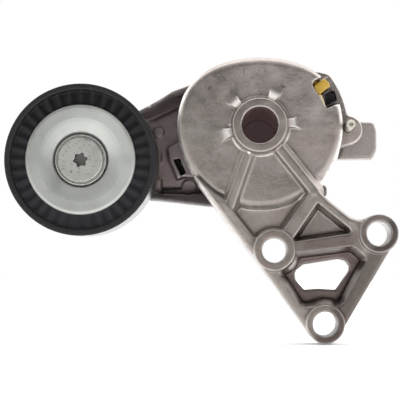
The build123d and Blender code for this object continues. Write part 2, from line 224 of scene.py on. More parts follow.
def lathe(name, profile, cx, cz, body, *nodes, steps=192, closed=True):
    """A mesh turned about the Y line through cx, cz. profile is (r, y) points, in order."""
    pr = [p for p in profile]
    n = len(pr)
    ang = np.linspace(0, 2 * math.pi, steps, endpoint=False)
    verts, first = [], []
    for r, y in pr:
        first.append(len(verts))
        if r < 1e-6:
            verts.append((cx, y, cz))
        else:
            verts += [(cx + r * math.cos(a), y, cz + r * math.sin(a)) for a in ang]
    bm = bmesh.new()
    vs = [bm.verts.new(v) for v in verts]
    for i in range(n if closed else n - 1):
        j = (i + 1) % n
        pi, pj = pr[i][0] < 1e-6, pr[j][0] < 1e-6
        if pi and pj:
            continue
        for k in range(steps):
            m = (k + 1) % steps
            if pi:
                bm.faces.new((vs[first[i]], vs[first[j] + k], vs[first[j] + m]))
            elif pj:
                bm.faces.new((vs[first[i] + k], vs[first[j]], vs[first[i] + m]))
            else:
                bm.faces.new((vs[first[i] + k], vs[first[j] + k], vs[first[j] + m], vs[first[i] + m]))
    bmesh.ops.recalc_face_normals(bm, faces=bm.faces)
    bmesh.ops.scale(bm, vec=(0.001, 0.001, 0.001), verts=bm.verts)
    me = bpy.data.meshes.new(name)
    bm.to_mesh(me)
    bm.free()
    me.polygons.foreach_set("use_smooth", np.full(len(me.polygons), True))
    ob = bpy.data.objects.new(name, me)
    bpy.context.scene.collection.objects.link(ob)
    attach(ob, body)
    if nodes:
        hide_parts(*nodes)
    return ob


def rounded(profile, radii, n=5, closed=True):
    """Round the corners of an (r, y) profile, each to its own radius."""
    out = []
    m = len(profile)
    for i in range(m):
        p = Vector(profile[i])
        rad = radii[i] if isinstance(radii, (list, tuple)) else radii
        if rad <= 0 or (not closed and i in (0, m - 1)):
            out.append(tuple(p))
            continue
        a, b = Vector(profile[i - 1]) - p, Vector(profile[(i + 1) % m]) - p
        la, lb = a.length, b.length
        a.normalize()
        b.normalize()
        ang = a.angle(b)
        if ang > math.pi - 0.02:
            out.append(tuple(p))
            continue
        t = min(rad / math.tan(ang / 2), 0.45 * la, 0.45 * lb)
        rr = t * math.tan(ang / 2)
        mid = (a + b).normalized() * (rr / math.sin(ang / 2)) + p
        s0, s1 = p + a * t - mid, p + b * t - mid
        for k in range(n + 1):
            q = s0.lerp(s1, k / n)
            q = q.normalized() * rr + mid
            out.append((max(q.x, 0.0), q.y))
    return out


# ------------------------------------------------------------------ node helps
class Mat:
    """A small builder for procedural materials."""

    def __init__(self, name):
        self.m = bpy.data.materials.new(name)
        self.m.use_nodes = True
        self.t = self.m.node_tree
        self.n = self.t.nodes
        self.b = next(n for n in self.n if n.type == "BSDF_PRINCIPLED")
        self.pos = self.n.new("ShaderNodeTexCoord").outputs["Object"]

    def link(self, a, b):
        self.t.links.new(a, b)

    def noise(self, scale, detail=4.0, rough=0.55, vec=None, stretch=None, offset=None):
        v = vec or self.pos
        if stretch or offset:
            mp = self.n.new("ShaderNodeMapping")
            mp.inputs["Scale"].default_value = stretch or (1, 1, 1)
            mp.inputs["Location"].default_value = offset or (0, 0, 0)
            self.link(v, mp.inputs["Vector"])
            v = mp.outputs[0]
        t = self.n.new("ShaderNodeTexNoise")
        t.inputs["Scale"].default_value = scale
        t.inputs["Detail"].default_value = detail
        t.inputs["Roughness"].default_value = rough
        self.link(v, t.inputs["Vector"])
        return t.outputs["Fac"]

    def voronoi(self, scale, feature="F1"):
        t = self.n.new("ShaderNodeTexVoronoi")
        t.feature = feature
        t.inputs["Scale"].default_value = scale
        self.link(self.pos, t.inputs["Vector"])
        return t.outputs["Distance"]

    def ramp(self, fac, stops):
        r = self.n.new("ShaderNodeValToRGB")
        el = r.color_ramp.elements
        while len(el) < len(stops):
            el.new(0.5)
        for e, (p, c) in zip(el, stops):
            e.position = p
            e.color = (*c, 1) if len(c) == 3 else c
        self.link(fac, r.inputs[0])
        return r.outputs[0]

    def grey(self, fac, a, b, lo=0.0, hi=1.0):
        m = self.n.new("ShaderNodeMapRange")
        m.inputs["From Min"].default_value = lo
        m.inputs["From Max"].default_value = hi
        m.inputs["To Min"].default_value = a
        m.inputs["To Max"].default_value = b
        self.link(fac, m.inputs["Value"])
        return m.outputs[0]

    def mix(self, fac, a, b, mode="MIX"):
        m = self.n.new("ShaderNodeMix")
        m.data_type = "RGBA"
        m.blend_type = mode
        for s, v in ((m.inputs[0], fac), (m.inputs[6], a), (m.inputs[7], b)):
            if isinstance(v, (int, float)):
                s.default_value = v
            elif isinstance(v, tuple):
                s.default_value = (*v, 1)
            else:
                self.link(v, s)
        return m.outputs[2]

    def math(self, op, a, b=0.0, c=None):
        m = self.n.new("ShaderNodeMath")
        m.operation = op
        for i, v in enumerate((a, b) if c is None else (a, b, c)):
            if isinstance(v, (int, float)):
                m.inputs[i].default_value = v
            else:
                self.link(v, m.inputs[i])
        return m.outputs[0]

    def sep(self, vec=None):
        s = self.n.new("ShaderNodeSeparateXYZ")
        self.link(vec or self.pos, s.inputs[0])
        return s.outputs

    def radius(self, cx, cz):
        """Distance from the Y line through cx, cz, in metres."""
        s = self.sep()
        dx, dz = self.math("SUBTRACT", s[0], cx), self.math("SUBTRACT", s[2], cz)
        return self.math("SQRT", self.math("ADD", self.math("MULTIPLY", dx, dx), self.math("MULTIPLY", dz, dz)))

    def pointy(self, lo, hi):
        g = self.n.new("ShaderNodeNewGeometry")
        return self.grey(g.outputs["Pointiness"], 0.0, 1.0, lo, hi)

    def hollow(self, distance, lo=0.35, hi=0.95, samples=6):
        """0 in tight recesses, 1 on open surfaces."""
        a = self.n.new("ShaderNodeAmbientOcclusion")
        a.samples = samples
        a.inputs["Distance"].default_value = distance
        return self.grey(a.outputs["AO"], 0.0, 1.0, lo, hi)

    def bump(self, height, strength, distance, normal=None):
        b = self.n.new("ShaderNodeBump")
        b.inputs["Strength"].default_value = strength
        b.inputs["Distance"].default_value = distance
        self.link(height, b.inputs["Height"])
        if normal is not None:
            self.link(normal, b.inputs["Normal"])
        return b.outputs[0]

    def set(self, **kw):
        for k, v in kw.items():
            s = self.b.inputs[k.replace("_", " ")]
            if isinstance(v, (int, float)):
                s.default_value = v
            elif isinstance(v, tuple):
                s.default_value = (*v, 1) if len(s.default_value) == 4 else v
            else:
                self.link(v, s)
        return self


def put(ob, *mats):
    ob.data.materials.clear()
    for m in mats:
        ob.data.materials.append(m.m)


# ------------------------------------------------------------------ the casting
A, B, C = (6.0, -53.0, 8.9), (50.1, -46.0, 8.3), (27.4, -84.2, 8.3)
PX, PZ = -76.6, -14.3
OUTLINE = [
    (-28.6, -21.6), (-26.3, -26.0), (-15.3, -40.4), (-1.6, -58.2), (20.75, -89.05), (27.4, -84.2), (34.5, -88.5),
    (57.2, -50.3), (50.1, -46.0), (48.0, -38.0), (44.2, -39.4), (42.0, -39.5), (38.8, -38.6), (35.1, -35.8),
    (29.6, -31.4), (24.9, -26.6), (9.6, -9.4), (0.0, 0.0), (-20.0, -10.0),
]
POCKET_UP = [(-21.6, -24.6), (-15.1, -32.0), (-2.9, -47.4), (4.5, -48.0), (9.4, -45.1), (18.3, -33.0), (22.0, -27.0), (0.0, -20.0)]
POCKET_TRI = [(24.4, -32.9), (37.6, -43.6), (38.4, -44.9), (37.6, -46.0), (12.9, -49.6)]
POCKET_LOW = [
    (15.4, -54.2), (38.6, -51.3), (41.0, -52.6), (44.4, -56.0), (44.7, -58.0), (35.4, -75.0), (33.2, -76.8),
    (27.4, -76.0), (19.0, -77.2), (16.8, -76.4), (8.2, -63.6), (10.0, -60.0),
]
STRUT = [(-40.0, -20.0), (-10.0, -60.0), (2.0, -55.2), (9.4, -45.1), (18.3, -33.0), (22.6, -26.2), (20.0, 0.0), (-40.0, 0.0)]
WINDOW = [
    (15.4, -61.3), (18.5, -58.9), (33.6, -56.5), (36.6, -57.4), (38.3, -60.0), (37.9, -62.2),
    (32.3, -69.9), (24.9, -69.4), (18.9, -69.9), (15.1, -65.6), (14.8, -63.0),
]
NOTCH = [
    (22.45, 17.9), (22.9, 18.9), (26.3, 21.1), (27.9, 21.6), (33.0, 24.0), (38.0, 20.0), (38.0, 9.8), (34.6, 9.75),
    (32.2, 8.9), (28.95, 7.6), (28.1, 7.9), (26.9, 10.2), (25.6, 12.6), (24.2, 14.2), (22.9, 16.4),
]


def sector2(x, z, r0, r1, a0, a1, r=0.6):
    m, w = math.radians((a0 + a1) / 2), math.radians((a1 - a0) / 2)
    ux, uz = math.cos(m), math.sin(m)
    px, pz = x * F(ux) + z * F(uz), np.abs(-x * F(uz) + z * F(ux))
    side = -px * F(math.sin(w)) + pz * F(math.cos(w))
    rr = np.hypot(x, z)
    return inter(inter(rr - F(r1), F(r0) - rr, r), side, r)


def cup2(x, z, r, top, top_r):
    return inter(np.hypot(x, z) - F(r), np.hypot(x, z - F(top - top_r)) - F(top_r), 4.5)


def base_sdf(x, y, z):
    rr = np.hypot(x, z)
    # housing: closed face with a well-rounded edge
    d = inter(inter(cup2(x, z, 35.4, 29.6, 54.0), F(5.0) - y, 3.6), y - F(31.0), 0.4)
    # bracket with drafted pockets on both sides
    o = poly(x, z, OUTLINE)
    for b in (A, B, C):
        o = np.minimum(o, circ(x, z, *b))
    br = inter(inter(o + F(0.05) + F(0.035) * np.maximum(F(22.0) - y, 0), F(2.4) - y, 1.5), y - F(22.0), 0.6)
    discs = np.minimum(circ(x, z, A[0], A[1], A[2] + 0.5), circ(x, z, C[0], C[1], C[2] + 0.5))
    for pts, front, back, slope in ((POCKET_UP, 8.6, 12.6, 0.16), (POCKET_TRI, 11.5, 15.5, 0.18), (POCKET_LOW, 13.6, 17.6, 0.2)):
        p2 = np.maximum(poly(x, z, pts), -discs)
        fp = inter(p2 + F(slope) * (y - F(2.4)), y - F(front), 0.45)
        if pts is POCKET_UP:
            # the strut's side towards this pocket is a long slope
            fp = inter(fp, poly(x, z, STRUT) + F(0.42) * (y - F(2.4)), 0.3)
        br = cut(br, fp, 0.45)
        bp = inter(p2 + F(0.08) * (F(22.0) - y) + F(0.3), F(back) - y, 1.2)
        br = cut(br, bp, 0.6)
    br = cut(br, np.maximum(rr - F(34.7), y - F(8.7)), 0.5)
    d = uni(d, br, 0.9)
    # ribs over the housing's face
    # a flat top and long drafted sides
    r1 = slab((seg(x, z, (-4.6, -10.6), (-12.9, -34.2), 3.2) - F(0.78) * (np.minimum(y, F(5.6)) - F(2.7))) * F(0.8), y, 2.7, 9.5, 0.35, 0.1)
    s2 = seg(x, z, (7.4, -8.8), (22.8, -28.2), 3.3)
    u2 = (x - F(7.4)) * F(0.783) + (z + F(8.8)) * F(0.622)
    r2 = slab((s2 - np.where(u2 > 0, F(0.88), F(0.45)) * (np.minimum(y, F(5.6)) - F(2.4))) * F(0.8), y, 2.4, 9.5, 0.4, 0.1)
    d = uni(d, r1, 0.45)
    d = uni(d, r2, 0.45)
    # hub, gussets and bosses
    d = uni(d, slab((rr - F(11.45) - F(0.25) * y) * F(0.97), y, 0.05, 8.0, 0.45, 0.1), 0.5)
    for deg in (5.0, 66.0, 136.0, 193.0):
        a = math.radians(deg)
        u = x * F(math.cos(a)) + z * F(math.sin(a))
        v = np.abs(-x * F(math.sin(a)) + z * F(math.cos(a)))
        # a short web that curves from the hub's edge down to the face and spreads at its foot
        t = np.clip((u - F(11.6)) / F(7.0), 0, 1)
        top = F(5.15) - F(4.0) * (1 - t) ** 2 - y
        g = inter(v - F(1.85) - F(1.5) * t * t, top * F(0.72), 0.25)
        g = np.maximum(g, np.maximum(u - F(18.4), F(9.0) - u))
        d = uni(d, np.maximum(g, y - F(7.5)), 0.3)
    for b in (A, B, C):
        boss = slab(circ(x, z, b[0], b[1], b[2] - 0.12) + F(0.012) * y, y, 0.05, 24.0, 0.35, 0.4)
        d = uni(d, boss, 0.6)
    # rim flange and lock lug
    fl = inter(sector2(x, z, 33.0, 38.45, 4.0, 47.0, 0.6), x * F(0.229) + z * F(0.973) - F(30.1), 1.0)
    fl = slab(fl, y, 20.0, 31.0, 0.5, 0.4)
    lug = slab(uni(circ(x, z, 38.25, -0.6, 6.35), poly(x, z, [(33.0, 5.0), (37.6, 6.0), (37.6, -7.2), (33.0, -9.0)]), 1.0), y, 20.0, 31.0, 0.7, 0.4)
    d = uni(d, uni(fl, lug, 1.6), 0.6)
    # stop post and stop tooth
    d = uni(d, slab(uni(circ(x, z, 27.6, -26.3, 1.55), circ(x, z, 27.7, -28.1, 1.45), 0.5), y, 18.0, 41.0, 0.6, 0.8), 0.4)
    d = uni(d, slab(seg(x, z, (27.4, -27.0), (26.0, -32.0), 2.6), y, 18.0, 30.0, 0.6, 0.5), 0.4)
    d = uni(d, slab(sector2(x, z, 33.75, 38.75, 27.8, 32.8, 0.5), y, 29.5, 36.0, 0.3, 0.5), 0.3)
    # inside of the housing, inner boss and spindle
    inside = inter(cup2(x, z, 32.0, 26.2, 50.5), F(9.0) - y, 1.5)
    d = cut(d, inside, 0.4)
    d = uni(d, slab(rr - F(15.0), y, 7.0, 12.0, 0.1, 0.4), 0.8)
    d = uni(d, slab(rr - F(11.0), y, 5.0, 65.6, 0.1, 0.6), 0.8)
    d = cut(d, np.maximum(rr - F(7.75), y - F(60.0)), 0.35)
    d = cut(d, np.maximum(rr - F(7.0), F(59.0) - y), 0.2)
    d = cut(d, np.maximum(np.maximum(F(10.2) - rr, np.abs(y - F(63.1)) - F(0.7)), rr - F(14.0)), 0.1)
    for b in (A, B, C):
        d = cut(d, circ(x, z, b[0], b[1], 5.25), 0.35)
    d = cut(d, np.maximum(circ(x, z, 38.45, 0.3, 1.88), F(19.0) - y), 0.25)
    # window in the web and notch over the spring's end
    wd = poly(x, z, WINDOW) + F(1.6)
    d = cut(d, wd - F(1.6) + F(0.05) * np.abs(y - F(13.6)), 0.5)
    nd = poly(x, z, NOTCH)
    d = cut(d, np.maximum(nd, y - F(20.0)), 0.4)
    d = cut(d, np.maximum(np.maximum(nd, rr - F(32.0)), y - F(31.0)), 0.2)
    return d


def base_cast(x, y, z):
    """The bracket's distance field, as base_sdf gives it."""
    return base_sdf(x, y, z)


H = 0.55
v, q = skin(base_cast, (-36, 0, -93), (59, 66, 30), H)
base = mesh_piece("cast_bracket", v, q, "base", "base_bracket")
print("base faces", len(q))

# ------------------------------------------------------------------ the arm
ARM_OUT = [
    (-82.4, -2.9), (-66.0, 4.6), (-52.8, 10.0), (-45.3, 14.0), (-38.6, 18.2), (-31.0, 20.9), (-10.0, 28.3), (0.0, 0.0),
    (0.0, -30.0), (-10.0, -33.2), (-22.2, -33.3), (-48.8, -30.2), (-78.0, -27.0), (-76.6, -14.3),
]
ARM_FLOOR = [
    (-58.5, 3.0), (-52.0, 6.2), (-44.6, 10.0), (-37.9, 14.0), (-33.5, 15.8), (-20.0, 16.0), (-20.0, -27.6),
    (-33.5, -28.0), (-48.6, -26.6), (-59.0, -25.4), (-63.0, -18.0), (-63.0, -6.0),
]
ARM_PAD = [
    (-40.0, -6.6), (-36.4, -4.6), (-29.0, -4.6), (-29.0, -20.4), (-34.2, -20.2), (-36.4, -21.3), (-38.2, -16.8),
    (-40.2, -12.4), (-40.9, -8.0),
]
ARM_SLOT = [(-38.2, -12.4), (-35.5, -11.7), (-32.6, -18.4), (-34.8, -19.5)]
ARM_TAB = [
    (27.0, 4.3), (49.4, 4.3), (50.8, 3.6), (51.9, 0.4), (51.9, -8.2), (50.2, -12.2), (34.8, -12.4), (36.0, -7.0), (27.0, -7.0),
]
PIN_R, PIN_A = math.hypot(38.45, 0.3), math.degrees(math.atan2(0.3, 38.45))


def arm_sdf(x, y, z):
    rr = np.hypot(x, z)
    end = circ(x, z, PX, PZ, 12.75)
    o = np.minimum(np.minimum(poly(x, z, ARM_OUT) + F(0.05), end), rr - F(29.9))
    d = slab(o + F(0.03) * np.maximum(F(41) - y, y - F(41)), y, 31.6, 46.0, 0.9, 0.9)
    # front recess with a raised rim round it
    fl = np.maximum(poly(x, z, ARM_FLOOR), np.maximum(F(33.6) - rr, F(13.6) - np.hypot(x - F(PX), z - F(PZ))))
    rec = inter(fl + F(0.16) * (y - F(31.6)) + F(0.1), y - F(38.5), 1.3)
    d = cut(d, rec, 0.7)
    bk = poly(x, z, [(-58.0, 1.0), (-36.0, 12.0), (-30.0, 12.0), (-30.0, -25.0), (-36.0, -26.0), (-58.0, -24.0)])
    bk = np.maximum(bk, np.maximum(F(33.2) - rr, F(13.8) - np.hypot(x - F(PX), z - F(PZ))))
    d = cut(d, inter(bk + F(0.12) * (F(46.0) - y) + F(0.2), F(42.5) - y, 1.0), 0.6)
    # deep groove under the top rim and along the bottom rim
    g = inter(poly(x, z, [(-53.0, 5.2), (-46.8, 8.6), (-38.2, 13.4), (-30.0, 15.2), (-28.0, 9.0), (-36.0, 9.4), (-47.0, 4.6)]) + F(0.5) * (y - F(36.0)), y - F(40.8), 1.2)
    d = cut(d, np.maximum(g, F(30.0) - y), 1.9)
    g = inter(seg(x, z, (-43.5, -26.4), (-31.0, -26.0), 2.3), y - F(39.9), 1.0)
    d = cut(d, np.maximum(g, F(30.0) - y), 1.3)
    # a small ejector disc, the raised pad, a rib to the pulley's boss
    d = uni(d, slab(circ(x, z, -44.9, 0.1, 2.3), y, 37.6, 40.0, 0.3, 0.1), 0.4)
    d = uni(d, slab(poly(x, z, ARM_PAD) + F(0.2) - F(0.12) * (y - F(34.4)), y, 34.4, 41.0, 0.7, 0.1), 1.0)
    d = uni(d, slab(poly(x, z, [(-48.4, -21.5), (-43.6, -21.5), (-43.6, -30.0), (-48.4, -30.0)]), y, 34.6, 41.0, 0.8, 0.1), 1.2)
    d = uni(d, slab(poly(x, z, [(-56.0, -12.5), (-44.0, -9.5), (-44.0, -13.0), (-56.0, -16.5)]), y, 36.9, 41.0, 0.8, 0.1), 1.5)
    d = cut(d, inter(circ(x, z, -31.4, -24.6, 3.5), y - F(39.8), 0.9), 0.6)
    d = cut(d, inter(poly(x, z, ARM_SLOT) + F(0.02) * np.abs(y - F(34)), y - F(41.4), 0.2), 0.25)
    # front flange, lock ear, wrench tab
    f2 = inter(rr - F(32.9), z - F(31.3), 2.0)
    d = uni(d, slab(f2, y, 31.6, 36.0, 0.5, 0.7), 0.8)
    d = uni(d, slab(sector2(x, z, 26.0, 38.6, -8.0, 26.1, 0.7), y, 31.6, 36.0, 0.5, 0.7), 1.2)
    d = uni(d, slab(poly(x, z, ARM_TAB) + F(0.4), y, 34.0, 44.0, 0.9, 0.9) - F(0.35), 1.2)
    # spring cup with a rounded rear edge, and the hub tube inside it
    d = uni(d, slab(rr - F(29.9), y, 31.6, 60.0, 0.3, 3.0), 1.5)
    d = cut(d, inter(rr - F(25.4), y - F(56.5), 1.2), 0.4)
    d = uni(d, slab(rr - F(16.5), y, 14.0, 60.0, 0.4, 0.4), 0.4)
    d = cut(d, rr - F(13.0), 0.3)
    a = math.radians(PIN_A + 21.0)
    d = cut(d, np.maximum(circ(x, z, PIN_R * math.cos(a), PIN_R * math.sin(a), 2.1), y - F(37.5)), 0.3)
    # pulley boss and the bolt's hole
    d = uni(d, slab(circ(x, z, PX, PZ, 9.5), y, 31.0, 48.0, 0.3, 0.5), 0.6)
    d = cut(d, circ(x, z, PX, PZ, 5.02), 0.3)
    return d


v, q = skin(arm_sdf, (-90, 14, -34), (52.5, 60.5, 32), H)
arm = mesh_piece("cast_arm", v, q, "arm", "tension_arm")
print("arm faces", len(q))


# ------------------------------------------------------------------ the pulley
def pulley_sdf(x, y, z):
    u, w = x - F(PX), z - F(PZ)
    r = np.hypot(u, w)
    ang = np.arctan2(w, u)
    # rim, bearing seat and web
    d = inter(inter(r - F(32.5), F(30.0) - r), np.maximum(F(3.0) - y, y - F(29.0)), 0.35)
    d = uni(d, slab(inter(r - F(23.4), F(20.0) - r), y, 5.2, 27.0, 0.3, 0.3), 0.3)
    d = uni(d, slab(inter(r - F(31.0), F(21.0) - r), y, 6.15, 20.5, 0.2, 0.2), 0.8)
    # radial ribs on both sides
    n = 36
    a = (ang * F(n / (2 * math.pi)) + F(0.5)) % F(1.0) - F(0.5)
    side = np.abs(a) * F(2 * math.pi / n) * r - F(0.85)
    top = F(5.35) + F(0.4) * (F(30.0) - r) / F(6.6)
    rib = inter(inter(side - F(0.1) * np.abs(y - F(5)), np.maximum(top - y, y - (F(32.0) - top)), 0.7), np.maximum(r - F(31.0), F(22.5) - r))
    d = uni(d, rib, 0.9)
    d = uni(d, slab(inter(r - F(21.0), F(18.2) - r), y, 22.05, 23.6, 0.1, 0.1), 0.2)
    return d


if True:
    v, q = skin(pulley_sdf, (-109.2, 3, -46.9), (-44.0, 29, 18.3), 0.5)
    pulley = mesh_piece("idler_pulley", v, q, "pulley", "pulley_shell")
    print("pulley faces", len(q))

# front shield: rolled rim, flat annulus, conical dip and a flat seat
SH = [(5.2, 9.0), (11.25, 9.0), (11.35, 6.6), (12.1, 5.3), (14.0, 4.72), (16.3, 4.1), (18.0, 3.82), (22.2, 3.6), (23.3, 3.75), (23.58, 4.3), (23.55, 4.95),
      (23.2, 4.95), (23.1, 4.5), (22.2, 4.3), (18.0, 4.5), (16.4, 4.8), (14.3, 5.45), (12.8, 6.0), (12.2, 7.2), (12.1, 9.95), (5.2, 9.95)]
front_shield = lathe("front_shield", rounded(SH, [0.1, 0.2, 0.5, 1.2, 1.2, 1.6, 1.0, 1.0, 0.5, 0.3, 0.2, 0.1, 0.2, 0.6, 1.0, 1.4, 1.2, 0.5, 0.3, 0.2, 0.1], 6), PX, PZ, "arm", "front_dust_shield", steps=256)
SR = [(8.6, 24.2), (17.5, 24.2), (18.5, 25.8), (19.3, 27.6), (22.6, 27.6), (22.6, 28.45), (18.7, 28.45), (17.6, 26.6), (17.0, 25.2), (8.6, 25.2)]
rear_shield = lathe("rear_shield", rounded(SR, 0.35, 4), PX, PZ, "arm", "rear_dust_shield", steps=192)


def bolt_sdf(x, y, z):
    u, w = x - F(PX), z - F(PZ)
    r = np.hypot(u, w)
    d = slab(r - F(11.0), y, 5.3, 9.0, 0.4, 0.5)
    # the head's face stands above its flange, with a turned groove between
    d = uni(d, slab(r - F(9.65), y, 4.45, 7.0, 0.55, 0.1), 0.15)
    d = cut(d, np.maximum(np.abs(r - F(9.95)) - F(0.28), y - F(5.9)), 0.1)
    lobes = r - F(2.35)
    for i in range(6):
        a = math.radians(60 * i + 11)
        lobes = uni(lobes, np.hypot(u - F(2.35 * math.cos(a)), w - F(2.35 * math.sin(a))) - F(0.8), 0.35)
    d = cut(d, inter(lobes, y - F(7.6), 0.3), 0.12)
    return uni(d, slab(r - F(4.98), y, 8.0, 11.0, 0.1, 0.2), 0.2)


v, q = skin(bolt_sdf, (-88, 4.4, -26), (-65, 11.0, -3), 0.22)
bolt_head = mesh_piece("bolt_head", v, q, "arm", "pulley_bolt")
shank = [(0, 10.8), (4.9, 10.8)]
for i in range(24):
    y = 30.0 + i * 0.7
    shank += [(4.98, y), (4.98, y + 0.12), (4.55, y + 0.32), (4.55, y + 0.42), (4.98, y + 0.62)]
shank += [(4.9, 47.0), (4.4, 47.4), (0, 47.4)]
bolt_shank = lathe("bolt_shank", shank, PX, PZ, "arm", steps=96)
bpy.context.view_layer.update()


# ------------------------------------------------- the notch's plastic pieces
def seat_sdf(x, y, z):
    # the block that shows in the notch, with a thin wall running down beside the lining
    b = poly(x, z, [(22.85, 17.1), (24.2, 18.35), (26.5, 20.0), (27.6, 20.55), (29.5, 18.85), (30.15, 17.2), (29.1, 16.15), (26.75, 14.35), (26.0, 13.5), (25.45, 12.9), (23.98, 13.98), (23.04, 15.4)])
    d = slab(b + F(0.3), y, 6.1, 20.0, 0.55, 0.3) - F(0.1)
    w = poly(x, z, [(25.2, 13.4), (26.35, 13.3), (27.15, 11.3), (27.75, 9.15), (28.4, 7.65), (27.75, 8.1), (26.75, 10.1), (25.3, 12.7)])
    d = uni(d, slab(w, y, 6.0, 20.0, 0.3, 0.2), 0.2)
    s = inter(sector2(x, z, 25.2, 31.5, 31.0, 78.0, 0.6), np.hypot(x, z + F(24.5)) - F(50.2), 0.4)
    return uni(d, slab(s, y, 9.3, 16.0, 0.5, 0.5), 0.8)


v, q = skin(seat_sdf, (0, 6, 7), (31, 20, 29), 0.25)
seat = mesh_piece("spring_seat_block", v, q, "base", "spring_seat")


def shoe_sdf(x, y, z):
    d = slab(sector2(x, z, 25.2, 31.6, -62.0, 26.0, 0.6), y, 9.3, 26.0, 0.5, 0.5)
    w = poly(x, z, [(26.2, 13.8), (27.75, 15.35), (29.4, 16.5), (31.0, 16.0), (32.3, 15.4), (33.15, 12.8), (33.35, 11.1), (31.2, 9.7), (29.1, 8.15), (28.45, 8.15), (27.35, 11.1)])
    d = uni(d, slab(w + F(0.1), y, 8.3, 19.4, 0.25, 0.3), 0.3)
    # a square pocket with thin walls
    p = poly(x, z, [(27.75, 13.5), (30.4, 15.3), (31.9, 15.0), (32.7, 12.6), (32.8, 11.2), (31.9, 10.9), (29.5, 9.5), (28.4, 9.2), (27.85, 11.3)])
    return cut(d, np.maximum(p, y - F(15.0)), 0.2)


v, q = skin(shoe_sdf, (11, 8, -29), (34, 26, 17), 0.3)
shoe = mesh_piece("friction_shoe_lining", v, q, "base", "friction_shoe")

# lock pin: rolled, with a hollow end
LP = [(0, 2.6), (0.85, 2.5), (0.9, 0.2), (1.2, 0.0), (1.65, 0.0), (1.8, 0.2), (1.8, 29.8), (1.1, 30.6), (0, 30.6)]
lock_pin = lathe("roll_pin", rounded(LP, [0, 0.1, 0.1, 0.1, 0.15, 0.15, 0.3, 0.3, 0], 4), 38.45, 0.3, "pin", "lock_pin", steps=64)


# ------------------------------------------------------------------ materials
def cast_material(name, dark, mid, light, rough=0.42, metallic=0.85, grain=1.0, stain=0.5, shade=None):
    """Die-cast aluminium: mottled tone, fine pitting, dark smudges and scratches, painted shade in recesses and
    creases, edges rubbed bright with a painted highlight.
    """
    m = Mat(name)
    big = m.noise(38, 3, 0.5)
    mid_n = m.noise(140, 4, 0.6)
    fine = m.noise(900, 3, 0.6)
    tone = m.math("ADD", m.math("MULTIPLY", big, 0.5), m.math("MULTIPLY", mid_n, 0.5))
    col = m.ramp(tone, [(0.30, dark), (0.50, mid), (0.72, light)])
    # warm and cool patches
    hue = m.noise(55, 2, 0.5, offset=(0.9, 0.2, 0.4))
    col = m.mix(m.grey(hue, 0.0, 0.35, 0.42, 0.66), col, (mid[0] * 1.02, mid[1] * 0.93, mid[2] * 0.94))
    # soft dirty smudges
    sm = m.noise(75, 5, 0.62, offset=(0.3, 0.1, 0.7))
    sm = m.grey(sm, 0.0, stain, 0.60, 0.76)
    col = m.mix(sm, col, tuple(c * 0.42 for c in dark))
    if shade is not None:
        col = shade(m, col)
    # painted shade: recesses and inside corners darkened through an occlusion mask
    open_ = m.hollow(0.0035, 0.25, 0.85)
    col = m.mix(open_, m.mix(1.0, col, (0.58, 0.53, 0.51), "MULTIPLY"), col)
    # painted shade: concave creases darkened
    low = m.pointy(0.48, 0.38)
    col = m.mix(m.math("MULTIPLY", low, 0.45), col, tuple(c * 0.3 for c in dark))
    # grain of the cast skin
    col = m.mix(1.0, col, m.ramp(fine, [(0.3, (0.86, 0.86, 0.86)), (0.7, (1.0, 1.0, 1.0))]), "MULTIPLY")
    # a few fine dark scratches, each patch with its own direction
    for k, (ang, off) in enumerate(((20, 0.13), (-38, 0.41), (74, 0.77))):
        mp = m.n.new("ShaderNodeMapping")
        mp.vector_type = "TEXTURE"
        mp.inputs["Rotation"].default_value = (0.0, math.radians(ang), 0.0)
        mp.inputs["Scale"].default_value = (1 / 90, 1 / 60, 1 / 900)
        mp.inputs["Location"].default_value = (off, off * 2, off * 3)
        m.link(m.pos, mp.inputs["Vector"])
        line = m.noise(1.0, 2, 0.5, vec=mp.outputs[0])
        patch = m.noise(60, 2, 0.5, offset=(off * 5, 0.2, off))
        sc_f = m.math("MULTIPLY", m.grey(line, 0.0, 0.7, 0.70, 0.76), m.grey(patch, 0.0, 1.0, 0.54, 0.62))
        col = m.mix(sc_f, col, tuple(c * 0.3 for c in dark))
    # convex edges rubbed bright, partly wear and partly a painted highlight
    edge = m.pointy(0.52, 0.62)
    worn_and_highlight = max(light) * 1.75
    col = m.mix(m.math("MULTIPLY", edge, 0.8), col, (worn_and_highlight, worn_and_highlight * 0.97, worn_and_highlight * 0.95))
    r = m.math("SUBTRACT", m.grey(mid_n, rough - 0.08, rough + 0.12, 0.3, 0.7), m.math("MULTIPLY", edge, 0.12))
    pit = m.voronoi(1500)
    h = m.math("ADD", m.math("MULTIPLY", fine, 0.6), m.math("MULTIPLY", pit, 0.4))
    n1 = m.bump(m.noise(210, 4, 0.55), 0.30 * grain, 0.0006)
    n2 = m.bump(h, 0.30 * grain, 0.0002, n1)
    m.set(Base_Color=col, Metallic=metallic, Roughness=r, Normal=n2)
    return m


